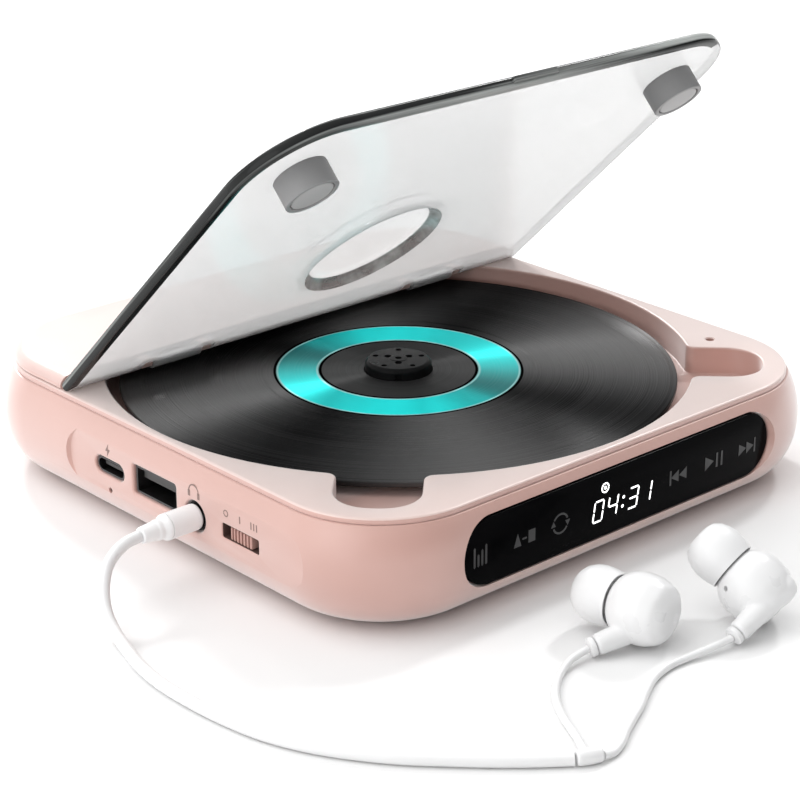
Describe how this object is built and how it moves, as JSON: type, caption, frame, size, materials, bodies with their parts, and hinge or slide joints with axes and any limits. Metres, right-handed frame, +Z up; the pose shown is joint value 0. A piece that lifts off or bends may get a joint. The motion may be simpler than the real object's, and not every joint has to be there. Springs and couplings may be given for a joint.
{
  "type": "portable cd player",
  "caption": "Rounded square tabletop disc player with a clear hinged lid, a disc on its spindle, a touch display, side sockets and plugged-in wired earphones.",
  "frame": {"origin": "centre of the box round the player without its earphones, on the surface it stands on; the spindle axis is the Z axis", "axes": "+Z up along the spindle, +Y to the lid's hinge, +X to the right along the display face"},
  "size_m": [0.1699, 0.1877, 0.094],
  "materials": {
    "pink_shell": "satin moulded plastic",
    "clear_lid": "clear tinted plastic",
    "panel_black": "gloss black, lit digits",
    "black_gloss": "gloss",
    "black_matt": "moulded, matt",
    "disc_face": "grooved black with a turquoise metallic ring",
    "grey_post": "satin",
    "magnet": "satin cap",
    "steel": "plain",
    "circuit_board": "solder mask",
    "display_block": "matt",
    "cell_wrap": "pouch film",
    "rubber": "moulded",
    "optic": "coated lens",
    "light_pipe": "clear light pipe, unlit",
    "white_plastic": "gloss",
    "white_cable": "satin jacket",
    "silicone": "silicone"
  },
  "bodies": {
    "player": {"base_shell": "pink_shell", "top_deck": "pink_shell", "rear_cover": "pink_shell", "display_window": "panel_black", "case_screw_1": "steel", "case_screw_2": "steel", "case_screw_3": "steel", "case_screw_4": "steel", "foot_1": "rubber", "foot_2": "rubber", "foot_3": "rubber", "foot_4": "rubber", "hinge_pin_left": "steel", "hinge_pin_right": "steel", "main_board": "circuit_board", "battery_pack": "cell_wrap", "display_board": "circuit_board", "led_display_module": "display_block", "usb_c_socket": "steel", "usb_c_tongue": "black_gloss", "usb_a_socket": "steel", "usb_a_tongue": "black_gloss", "headphone_jack": "black_gloss", "charge_led": "light_pipe", "switch_body": "black_matt", "traverse_chassis": "black_matt", "damper_1": "rubber", "damper_2": "rubber", "damper_3": "rubber", "damper_4": "rubber", "guide_rod_left": "steel", "guide_rod_right": "steel", "sled_motor": "steel", "spindle_motor": "steel"},
    "lid": {"lid_panel": "clear_lid", "lid_post_left": "grey_post", "lid_post_right": "grey_post", "post_magnet_left": "magnet", "post_magnet_right": "magnet"},
    "spindle": {"turntable_hub": "black_gloss"},
    "disc": {"compact_disc": "disc_face"},
    "pickup": {"pickup_sled": "black_matt"},
    "lens": {"objective_lens": "optic"},
    "screw_shaft": {"lead_screw": "steel"},
    "switch": {"switch_knob": "pink_shell"},
    "earphones": {"plug_body": "white_plastic", "plug_tip": "steel", "main_cable": "white_cable", "cable_splitter": "white_plastic", "cable_left": "white_cable", "cable_right": "white_cable", "earbud_left": "white_plastic", "earbud_right": "white_plastic", "ear_tip_left": "silicone", "ear_tip_right": "silicone"}
  },
  "joints": [
    {"name": "lid_hinge", "type": "hinge", "parent": "player", "child": "lid", "pos_m": [0, 0.0311, 0.0255], "axis": [-1, 0, 0], "range_deg": [-44, 41]},
    {"name": "spindle_spin", "type": "hinge", "parent": "player", "child": "spindle", "pos_m": [0, 0, 0.02], "axis": [0, 0, 1], "continuous": true},
    {"name": "disc_lift", "type": "slide", "parent": "spindle", "child": "disc", "axis": [0, 0, 1], "range_m": [0, 0.0022]},
    {"name": "pickup_slide", "type": "slide", "parent": "player", "child": "pickup", "axis": [0, 1, 0], "range_m": [0, 0.032]},
    {"name": "lens_focus", "type": "slide", "parent": "pickup", "child": "lens", "axis": [0, 0, 1], "range_m": [-0.0004, 0.0004], "stiffness_N_per_m": 20},
    {"name": "lead_screw_turn", "type": "hinge", "parent": "player", "child": "screw_shaft", "pos_m": [0.0235, 0.036, 0.013], "axis": [0, 1, 0], "continuous": true},
    {"name": "switch_slide", "type": "slide", "parent": "player", "child": "switch", "axis": [0, 1, 0], "range_m": [-0.002, 0.002]},
    {"name": "plug_pull", "type": "slide", "parent": "player", "child": "earphones", "axis": [-1, 0, 0], "range_m": [0, 0.016]}
  ],
  "couplings": [
    {"joint": "lead_screw_turn", "follows": "pickup_slide", "rad_per_m": 2094.4}
  ]
}
